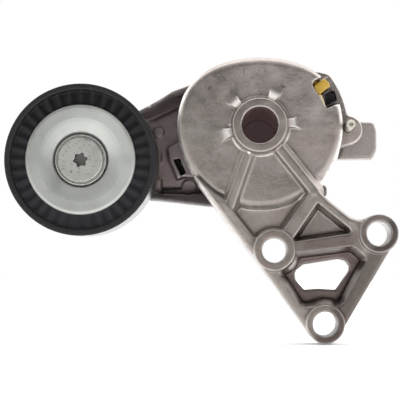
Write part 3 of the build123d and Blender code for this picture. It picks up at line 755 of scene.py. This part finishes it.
def bore_shade(m, col):
    """Painted shade and light over the bracket's casting, darker boss and hub faces, scratches, and a brown colour
    with a faint painted glow inside the hub's bore.
    """
    x, y, z = m.sep()
    # the pockets of the lower bracket darkened: painted shade
    pocket_shade = m.math("MULTIPLY", m.math("MULTIPLY", m.grey(z, 1.0, 0.0, -0.052, -0.048), m.grey(y, 0.0, 1.0, 0.0035, 0.011)), m.grey(y, 1.0, 0.0, 0.0145, 0.0170))
    col = m.mix(pocket_shade, col, m.mix(1.0, col, (0.62, 0.545, 0.56), "MULTIPLY"))
    # the bar between them darkened too: painted shade
    c, s = math.cos(math.radians(7.0)), math.sin(math.radians(7.0))
    ax, az = m.math("SUBTRACT", x, 0.016), m.math("SUBTRACT", z, -0.0518)
    u = m.math("ADD", m.math("MULTIPLY", ax, c), m.math("MULTIPLY", az, s))
    v = m.math("ABSOLUTE", m.math("SUBTRACT", m.math("MULTIPLY", az, c), m.math("MULTIPLY", ax, s)))
    bar = m.math("MULTIPLY", m.math("MULTIPLY", m.grey(v, 1.0, 0.0, 0.0026, 0.0046), m.grey(y, 1.0, 0.0, 0.0100, 0.0160)), m.math("MULTIPLY", m.grey(u, 0.0, 1.0, -0.003, 0.003), m.grey(u, 1.0, 0.0, 0.021, 0.029)))
    col = m.mix(bar, col, m.mix(1.0, col, (0.60, 0.55, 0.54), "MULTIPLY"))
    # painted shade: the lower-left of the casting is darker than the upper-right
    t = m.math("ADD", x, z)
    col = m.mix(m.grey(t, 1.0, 0.0, -0.022, 0.018), col, m.mix(1.0, col, (0.77, 0.77, 0.755), "MULTIPLY"))
    for b in (A, B, C):
        ring = m.math("MULTIPLY", m.math("LESS_THAN", m.radius(b[0] * 0.001, b[1] * 0.001), (b[2] - 0.9) * 0.001), m.math("LESS_THAN", y, 0.0008))
        col = m.mix(ring, col, m.mix(1.0, col, (0.86, 0.82, 0.80), "MULTIPLY"))
    # painted shade: boss B's face darker still
    ring = m.math("MULTIPLY", m.math("LESS_THAN", m.radius(B[0] * 0.001, B[1] * 0.001), 0.0084), m.math("LESS_THAN", y, 0.0016))
    col = m.mix(ring, col, m.mix(1.0, col, (0.66, 0.66, 0.665), "MULTIPLY"))
    # painted light: the upper pocket's floor is lighter
    pocket_floor_light = m.math("MULTIPLY", m.math("MULTIPLY", m.grey(y, 0.0, 1.0, 0.0066, 0.0082), m.grey(y, 1.0, 0.0, 0.0092, 0.0104)), m.math("MULTIPLY", m.grey(z, 1.0, 0.0, -0.031, -0.028), m.grey(z, 0.0, 1.0, -0.052, -0.047)))
    col = m.mix(pocket_floor_light, col, m.mix(1.0, col, (1.26, 1.25, 1.24), "MULTIPLY"))
    # painted shade: the small stop post is dark
    post_shade = m.math("MULTIPLY", m.grey(y, 0.0, 1.0, 0.0165, 0.0180), m.grey(m.radius(0.0278, -0.0278), 1.0, 0.0, 0.0030, 0.0042))
    col = m.mix(post_shade, col, m.mix(1.0, col, (0.42, 0.41, 0.40), "MULTIPLY"))
    # painted highlights, patchy: gussets, the foot of the hub, the rim's rounding and the long outer edge
    rr = m.radius(0.0, 0.0)
    blotch = m.grey(m.noise(420, 3, 0.6), 0.45, 1.0, 0.35, 0.6)
    gusset_highlight = m.math("MULTIPLY", m.math("MULTIPLY", m.grey(rr, 0.0, 1.0, 0.0126, 0.0140), m.grey(rr, 1.0, 0.0, 0.0165, 0.0200)), m.math("MULTIPLY", m.grey(y, 1.0, 0.0, 0.0040, 0.0050), m.math("GREATER_THAN", z, -0.007)))
    foot = m.math("MULTIPLY", m.math("MULTIPLY", m.math("GREATER_THAN", rr, 0.0122), m.math("LESS_THAN", rr, 0.0131)), m.math("MULTIPLY", m.math("GREATER_THAN", y, 0.0030), m.grey(z, 1.0, 0.0, -0.004, 0.0)))
    rim = m.math("MULTIPLY", m.grey(y, 0.0, 1.0, 0.0054, 0.0070), m.math("MULTIPLY", m.math("MULTIPLY", m.grey(rr, 0.0, 1.0, 0.0325, 0.0342), m.grey(rr, 1.0, 0.0, 0.0358, 0.0361)), m.grey(y, 1.0, 0.0, 0.0084, 0.0104)))
    edge_l = m.math("ADD", m.math("MULTIPLY", m.math("ADD", x, 0.0286), 0.809), m.math("MULTIPLY", m.math("ADD", z, 0.0216), 0.588))
    rim = m.math("MULTIPLY", rim, m.grey(z, 1.0, 0.30, 0.0225, 0.0300))
    long_edge_highlight = m.math("MULTIPLY", m.grey(edge_l, 1.0, 0.0, 0.0006, 0.0018), m.math("MULTIPLY", m.grey(z, 1.0, 0.0, -0.026, -0.022), m.grey(y, 1.0, 0.0, 0.0040, 0.0075)))
    painted_highlight = m.math("MAXIMUM", m.math("MAXIMUM", m.math("MULTIPLY", gusset_highlight, 0.55), foot), m.math("MAXIMUM", rim, m.math("MULTIPLY", long_edge_highlight, 0.45)))
    # painted light: the lock lug and the left-hand flange are a little lighter than the rest
    lug_light = m.math("MULTIPLY", m.math("MULTIPLY", m.math("GREATER_THAN", rr, 0.0388), m.math("GREATER_THAN", x, 0.030)), m.grey(z, 0.0, 1.0, -0.013, -0.011))
    flange_light = m.math("MULTIPLY", m.math("MULTIPLY", m.grey(edge_l, 1.0, 0.0, 0.0042, 0.0062), m.grey(z, 1.0, 0.0, -0.026, -0.022)), m.grey(y, 1.0, 0.0, 0.0040, 0.0060))
    col = m.mix(m.math("MAXIMUM", lug_light, m.math("MULTIPLY", flange_light, 0.5)), col, m.mix(1.0, col, (1.26, 1.25, 1.25), "MULTIPLY"))
    # painted shade: the right-hand flange and its boss are darker on their sides
    right_side_shade = m.math("MULTIPLY", m.math("MULTIPLY", m.grey(z, 1.0, 0.0, -0.034, -0.030), m.math("GREATER_THAN", x, 0.022)), m.grey(m.math("SUBTRACT", m.math("MULTIPLY", x, 0.84), m.math("MULTIPLY", z, 0.54)), 0.0, 1.0, 0.066, 0.069))
    col = m.mix(right_side_shade, col, m.mix(1.0, col, (0.55, 0.53, 0.52), "MULTIPLY"))
    col = m.mix(m.math("MULTIPLY", painted_highlight, blotch), col, (0.80, 0.785, 0.77))
    # scratches on the housing's face
    for x0, z0, x1, z1, w in ((-16.6, 22.1, -13.7, 19.1, 0.16), (-7.2, 24.6, -6.3, 21.6, 0.13), (-22.4, 15.4, -20.6, 16.8, 0.16), (8.1, 16.6, 11.5, 17.2, 0.13), (-26.0, 11.3, -25.2, 11.9, 0.14), (2.0, 24.0, 2.7, 22.6, 0.10)):
        L = math.hypot(x1 - x0, z1 - z0)
        cx, cz, ux, uz = x0 * 0.001, z0 * 0.001, (x1 - x0) / L, (z1 - z0) / L
        du, dw = m.math("SUBTRACT", x, cx), m.math("SUBTRACT", z, cz)
        u = m.math("ADD", m.math("MULTIPLY", du, ux), m.math("MULTIPLY", dw, uz))
        v = m.math("SUBTRACT", m.math("MULTIPLY", dw, ux), m.math("MULTIPLY", du, uz))
        v = m.math("ABSOLUTE", m.math("ADD", v, m.grey(m.noise(700, 2, 0.5), -0.0006, 0.0006, 0.3, 0.7)))
        k = m.math("MULTIPLY", m.grey(v, 0.8, 0.0, w * 0.0006, w * 0.0018), m.math("MULTIPLY", m.grey(u, 0.0, 1.0, -0.0002, 0.0004), m.grey(u, 1.0, 0.0, (L - 0.6) * 0.001, L * 0.001)))
        k = m.math("MULTIPLY", k, m.math("LESS_THAN", y, 0.0062))
        col = m.mix(k, col, (0.07, 0.062, 0.058))
    # the hub's ground face is a little darker
    hub = m.math("MULTIPLY", m.math("LESS_THAN", rr, 0.0113), m.math("LESS_THAN", y, 0.0006))
    col = m.mix(hub, col, m.mix(1.0, col, (0.84, 0.83, 0.82), "MULTIPLY"))
    # painted light: a brown colour and a faint glow inside the hub's bore
    bore_glow = m.math("MULTIPLY", m.math("LESS_THAN", rr, 0.00790), m.grey(y, 0.0, 1.0, 0.0010, 0.0024))
    m.set(Emission_Color=(1.0, 0.66, 0.68), Emission_Strength=m.math("MULTIPLY", bore_glow, 0.023))
    return m.mix(bore_glow, col, (0.42, 0.31, 0.30))


m_base = cast_material("cast_aluminium", (0.29, 0.259, 0.239), (0.365, 0.327, 0.306), (0.455, 0.417, 0.396), rough=0.36, shade=bore_shade)


def arm_shade(m, col):
    """The arm's body is darker than its tab beyond the housing, with painted shade along its lower edge and inside the
    slot.
    """
    x, y, z = m.sep()
    # painted shade along the lower edge of the arm's body
    foot = m.math("MULTIPLY", m.grey(z, 1.0, 0.0, -0.0275, -0.0235), m.math("LESS_THAN", x, 0.0))
    col = m.mix(foot, col, m.mix(1.0, col, (0.36, 0.35, 0.36), "MULTIPLY"))
    # the top rim is greyer
    top = m.math("MULTIPLY", m.grey(y, 1.0, 0.0, 0.0325, 0.0350), m.math("LESS_THAN", x, 0.0))
    col = m.mix(top, col, m.mix(1.0, col, (0.62, 0.66, 0.64), "MULTIPLY"))
    # the rear faces are cleaner
    rear = m.math("MAXIMUM", m.grey(y, 0.0, 1.0, 0.0385, 0.0430), m.grey(m.radius(0.0, 0.0), 1.0, 0.0, 0.0300, 0.0330))
    col = m.mix(rear, col, m.mix(1.0, col, (0.90, 0.99, 0.98), "MULTIPLY"))
    # painted shade: the slot's inside is painted black
    dx, dz = m.math("SUBTRACT", x, -0.0353), m.math("SUBTRACT", z, -0.0155)
    u = m.math("ABSOLUTE", m.math("SUBTRACT", m.math("MULTIPLY", dx, 0.415), m.math("MULTIPLY", dz, 0.91)))
    v = m.math("ABSOLUTE", m.math("ADD", m.math("MULTIPLY", dx, 0.91), m.math("MULTIPLY", dz, 0.415)))
    slot_shade = m.math("MULTIPLY", m.math("MULTIPLY", m.math("LESS_THAN", u, 0.0041), m.math("LESS_THAN", v, 0.0019)), m.math("GREATER_THAN", y, 0.0351))
    col = m.mix(slot_shade, col, (0.022, 0.018, 0.018))
    # towards the tab beyond the housing the colour turns lighter
    toward_tab = m.grey(x, 0.0, 1.0, 0.020, 0.036)
    return m.mix(toward_tab, col, (0.37, 0.335, 0.32))


m_arm = cast_material("cast_aluminium_dark", (0.20, 0.160, 0.156), (0.29, 0.240, 0.235), (0.38, 0.32, 0.31), rough=0.5, metallic=0.7, shade=arm_shade)


def machined(name, c, cx, cz, rough=0.36):
    """A faced-off end: fine rings about its own axis."""
    m = Mat(name)
    r = m.radius(cx, cz)
    w = m.math("SINE", m.math("MULTIPLY", r, 2 * math.pi / 0.00035))
    n = m.noise(260, 4, 0.6)
    col = m.ramp(n, [(0.3, tuple(v * 0.82 for v in c)), (0.5, c), (0.75, tuple(min(1, v * 1.15) for v in c))])
    m.set(Base_Color=col, Metallic=0.75, Roughness=m.grey(n, rough - 0.06, rough + 0.12, 0.3, 0.7), Normal=m.bump(w, 0.10, 0.0001))
    return m


def steel(name, c, rough=0.34, metallic=0.9, spot=0.3, scale=220):
    m = Mat(name)
    n = m.noise(scale, 5, 0.6)
    big = m.noise(45, 3, 0.5)
    col = m.ramp(m.math("ADD", m.math("MULTIPLY", n, 0.55), m.math("MULTIPLY", big, 0.45)),
                 [(0.28, tuple(v * 0.78 for v in c)), (0.5, c), (0.74, tuple(min(1, v * 1.1) for v in c))])
    s = m.grey(m.noise(520, 4, 0.65, offset=(0.2, 0.4, 0.1)), 0.0, spot, 0.62, 0.78)
    col = m.mix(s, col, tuple(v * 0.35 for v in c))
    m.set(Base_Color=col, Metallic=metallic, Roughness=m.grey(n, rough - 0.07, rough + 0.13, 0.3, 0.7), Normal=m.bump(m.noise(1400, 3), 0.08, 0.0001))
    return m


m_zinc = steel("zinc_plate", (0.46, 0.471, 0.446), 0.42, 0.75, 0.05, 120)
m = m_zinc
# painted shade: the shield's upper-left side darker
shield_shade_ = m.math("ADD", m.math("MULTIPLY", m.math("SUBTRACT", m.sep()[0], PX * 0.001), -0.8), m.math("MULTIPLY", m.math("SUBTRACT", m.sep()[2], PZ * 0.001), 0.6))
c_ = m.b.inputs["Base Color"].links[0].from_socket
m.set(Base_Color=m.mix(m.grey(shield_shade_, 0.0, 1.0, 0.004, 0.017), c_, m.mix(1.0, c_, (0.80, 0.80, 0.80), "MULTIPLY")))
m_bolt = steel("bolt_steel", (0.41, 0.407, 0.385), 0.42, 0.75, 0.9, 260)
m = m_bolt
rr_, yy_ = m.radius(PX * 0.001, PZ * 0.001), m.sep()[1]
# painted shade: the inside of the six-lobe recess darker
recess_shade_ = m.math("MULTIPLY", m.math("LESS_THAN", rr_, 0.0036), m.math("GREATER_THAN", yy_, 0.0049))
spk = m.grey(m.noise(900, 3, 0.6, offset=(0.5, 0.1, 0.8)), 0.0, 0.75, 0.57, 0.66)
c_ = m.mix(spk, m.b.inputs["Base Color"].links[0].from_socket, (0.09, 0.085, 0.075))
m.set(Base_Color=m.mix(recess_shade_, c_, (0.16, 0.155, 0.145)))
m_plated = steel("plated_steel", (0.47, 0.47, 0.45), 0.35, 0.9, 0.3)
m_pin = steel("pin_steel", (0.58, 0.56, 0.49), 0.35, 0.85, 0.2)
m_spring = steel("spring_steel", (0.13, 0.13, 0.14), 0.38, 0.8, 0.3)
m_bearing = steel("bearing_steel", (0.60, 0.60, 0.62), 0.16, 1.0, 0.05)
m_cage = steel("cage_steel", (0.45, 0.45, 0.45), 0.3, 0.9, 0.1)
m_bronze = steel("bronze_bush", (0.42, 0.27, 0.13), 0.4, 0.9, 0.3)


def plastic(name, c, rough=0.45, amount=0.25, bump=0.12, scale=500, spec=0.5):
    m = Mat(name)
    n = m.noise(scale, 4, 0.6)
    big = m.noise(60, 3, 0.5)
    col = m.ramp(m.math("ADD", m.math("MULTIPLY", n, 0.4), m.math("MULTIPLY", big, 0.6)),
                 [(0.3, tuple(v * (1 - amount) for v in c)), (0.5, c), (0.75, tuple(min(1, v * (1 + amount)) for v in c))])
    m.set(Base_Color=col, Metallic=0.0, Roughness=m.grey(n, rough - 0.08, rough + 0.12, 0.3, 0.7), Normal=m.bump(n, bump, 0.0002), Specular_IOR_Level=spec)
    return m


m_black = plastic("pulley_nylon", (0.013, 0.012, 0.0135), 0.5, 0.3, 0.15, spec=0.35)
m = m_black
yy_, zz_ = m.sep()[1], m.sep()[2]
# painted light: deeper than the rib tops, the pulley is lighter towards the bottom and darker towards the top
m.set(Base_Color=m.mix(m.grey(yy_, 0.0, 1.0, 0.0050, 0.0062), m.b.inputs["Base Color"].links[0].from_socket, m.mix(m.grey(zz_, 1.0, 0.0, -0.046, 0.018), (0.002, 0.001, 0.001), (0.026, 0.025, 0.029))))
tread = m.math("MULTIPLY", m.math("GREATER_THAN", m.radius(PX * 0.001, PZ * 0.001), 0.03222), m.math("GREATER_THAN", yy_, 0.0034))
m.set(Roughness=m.grey(tread, 0.48, 0.30), Specular_IOR_Level=m.math("ADD", m.grey(tread, 0.0, 0.35), m.grey(yy_, 0.28, 0.20, 0.0045, 0.0058)))
m_shoe = plastic("black_plastic", (0.048, 0.040, 0.041), 0.5, 0.3, 0.1)
m_yellow = plastic("yellow_plastic", (0.47, 0.295, 0.043), 0.36, 0.2, 0.08, 300)
m_cap_glow = plastic("cap_plastic_glow", (0.050, 0.040, 0.040), 0.6, 0.2, 0.1)
# painted light: the end cap glows faintly at the bottom of the bore
m_cap_glow.set(Emission_Color=(1.0, 0.66, 0.68), Emission_Strength=0.039)
m_rubber = plastic("seal_rubber", (0.045, 0.022, 0.015), 0.55, 0.2, 0.2)

# the wall of the thin part beside the lining is paler
m = m_yellow
zz, yy = m.sep()[2], m.sep()[1]
pale = m.math("MULTIPLY", m.math("LESS_THAN", zz, 0.0131), m.math("LESS_THAN", yy, 0.0085))
m.set(Base_Color=m.mix(m.math("MULTIPLY", pale, 0.7), m.b.inputs["Base Color"].links[0].from_socket, (0.82, 0.74, 0.50)))
put(base, m_base)
put(arm, m_arm)
put(pulley, m_black)
put(front_shield, m_zinc)
put(rear_shield, m_zinc)
put(bolt_head, m_bolt)
put(bolt_shank, m_bolt)
put(seat, m_yellow)
put(shoe, m_shoe)
put(lock_pin, m_pin)
NODE_MATS = {
    "torsion_spring": m_spring, "thrust_washer": m_shoe, "pivot_bush_front": m_bronze, "pivot_bush_rear": m_bronze,
    "thrust_plate": m_plated, "retaining_ring": m_spring, "end_cap": m_cap_glow, "bearing_outer_ring": m_bearing,
    "bearing_inner_ring": m_bearing, "bearing_balls": m_bearing, "bearing_cage": m_cage,
    "bearing_seal_front": m_rubber, "bearing_seal_rear": m_rubber, "pulley_spacer": m_plated,
}
for name, mat in NODE_MATS.items():
    put(NODES[name], mat)

# ------------------------------------------------------------------ the studio
floor_mat = Mat("floor")
fn = floor_mat.noise(3, 2)
floor_mat.set(Base_Color=floor_mat.ramp(fn, [(0.3, (0.88, 0.88, 0.88)), (0.7, (0.91, 0.91, 0.91))]), Roughness=0.8, Emission_Color=(1.0, 1.0, 1.0), Emission_Strength=0.22)
me = bpy.data.meshes.new("floor")
z0 = cad_lo[2] - 0.0004
me.from_pydata([(-3, -3, z0), (3, -3, z0), (3, 3, z0), (-3, 3, z0)], [], [(0, 1, 2, 3)])
floor = bpy.data.objects.new("floor", me)
bpy.context.scene.collection.objects.link(floor)
floor.data.materials.append(floor_mat.m)

world = bpy.data.worlds.new("studio")
bpy.context.scene.world = world
world.use_nodes = True
wn, wl = world.node_tree.nodes, world.node_tree.links
bg = next(n for n in wn if n.type == "BACKGROUND")
# a light tent: white all round, with a dimmer opening in front of the object
tc = wn.new("ShaderNodeTexCoord")
sp = wn.new("ShaderNodeSeparateXYZ")
wl.new(tc.outputs["Generated"], sp.inputs[0])
ab = wn.new("ShaderNodeMapRange")
ab.inputs["From Min"].default_value = -1.0
ab.inputs["From Max"].default_value = 1.0
wl.new(sp.outputs[1], ab.inputs["Value"])
rp = wn.new("ShaderNodeValToRGB")
rp.color_ramp.interpolation = "EASE"
for k, (p, c) in enumerate(((0.18, 0.072), (0.34, 0.34), (0.46, 1.0), (0.70, 1.0), (0.92, 0.40))):
    el = rp.color_ramp.elements[k] if k < 2 else rp.color_ramp.elements.new(p)
    el.position = p
    el.color = (c, c, c, 1)
wl.new(ab.outputs[0], rp.inputs[0])
up = wn.new("ShaderNodeMapRange")
up.inputs["From Min"].default_value = -1.0
up.inputs["From Max"].default_value = 1.0
up.inputs["To Min"].default_value = 0.85
up.inputs["To Max"].default_value = 1.0
wl.new(sp.outputs[2], up.inputs["Value"])
sc = wn.new("ShaderNodeVectorMath")
sc.operation = "SCALE"
wl.new(rp.outputs[0], sc.inputs[0])
wl.new(up.outputs[0], sc.inputs["Scale"])
dp = wn.new("ShaderNodeVectorMath")
dp.operation = "DOT_PRODUCT"
dp.inputs[1].default_value = (0.64, 0.0, -0.77)
wl.new(tc.outputs["Generated"], dp.inputs[0])
dim = wn.new("ShaderNodeMapRange")
for k, v in (("From Min", 0.15), ("From Max", 0.60), ("To Min", 1.0), ("To Max", 0.50)):
    dim.inputs[k].default_value = v
wl.new(dp.outputs["Value"], dim.inputs["Value"])
back = wn.new("ShaderNodeMapRange")
for k, v in (("From Min", 0.1), ("From Max", 0.6), ("To Min", 0.0), ("To Max", 1.0)):
    back.inputs[k].default_value = v
wl.new(sp.outputs[1], back.inputs["Value"])
keep = wn.new("ShaderNodeMath")
keep.operation = "MAXIMUM"
wl.new(dim.outputs[0], keep.inputs[0])
wl.new(back.outputs[0], keep.inputs[1])
sc2 = wn.new("ShaderNodeVectorMath")
sc2.operation = "SCALE"
wl.new(sc.outputs[0], sc2.inputs[0])
wl.new(keep.outputs[0], sc2.inputs["Scale"])
wl.new(sc2.outputs[0], bg.inputs["Color"])
bg.inputs["Strength"].default_value = 3.3
white = wn.new("ShaderNodeBackground")
white.inputs["Color"].default_value = (1, 1, 1, 1)
white.inputs["Strength"].default_value = 1.0
lp = wn.new("ShaderNodeLightPath")
mx = wn.new("ShaderNodeMixShader")
wl.new(lp.outputs["Is Camera Ray"], mx.inputs[0])
wl.new(bg.outputs[0], mx.inputs[1])
wl.new(white.outputs[0], mx.inputs[2])
wout = next(n for n in wn if n.type == "OUTPUT_WORLD")
wl.new(mx.outputs[0], wout.inputs[0])


def area(name, loc, target, size, power, color=(1, 1, 1)):
    ld = bpy.data.lights.new(name, "AREA")
    ld.shape = "RECTANGLE"
    ld.size, ld.size_y = size
    ld.energy = power
    ld.color = color
    o = bpy.data.objects.new(name, ld)
    o.location = loc
    o.rotation_euler = (Vector(target) - Vector(loc)).to_track_quat("-Z", "Y").to_euler()
    bpy.context.scene.collection.objects.link(o)
    return o


area("key", (-0.05, -0.75, 0.85), (0, 0, -0.03), (0.8, 0.5), 0.55)
bpy.context.scene.view_settings.view_transform = "Standard"
bpy.context.scene.view_settings.look = "None"


# ------------------------------------------------------------------ camera
cam_data = bpy.data.cameras.new("camera")
cam_data.lens = 145.05
cam_data.sensor_width = 36.0
cam_data.clip_start, cam_data.clip_end = 0.05, 20.0
cam = bpy.data.objects.new("camera", cam_data)
cam.location = (-0.00603, -0.680, -0.05993)
target = Vector((-0.02540, 0.0, -0.03178))
cam.rotation_euler = (target - cam.location).to_track_quat("-Z", "Y").to_euler()
bpy.context.scene.collection.objects.link(cam)
bpy.context.scene.camera = cam
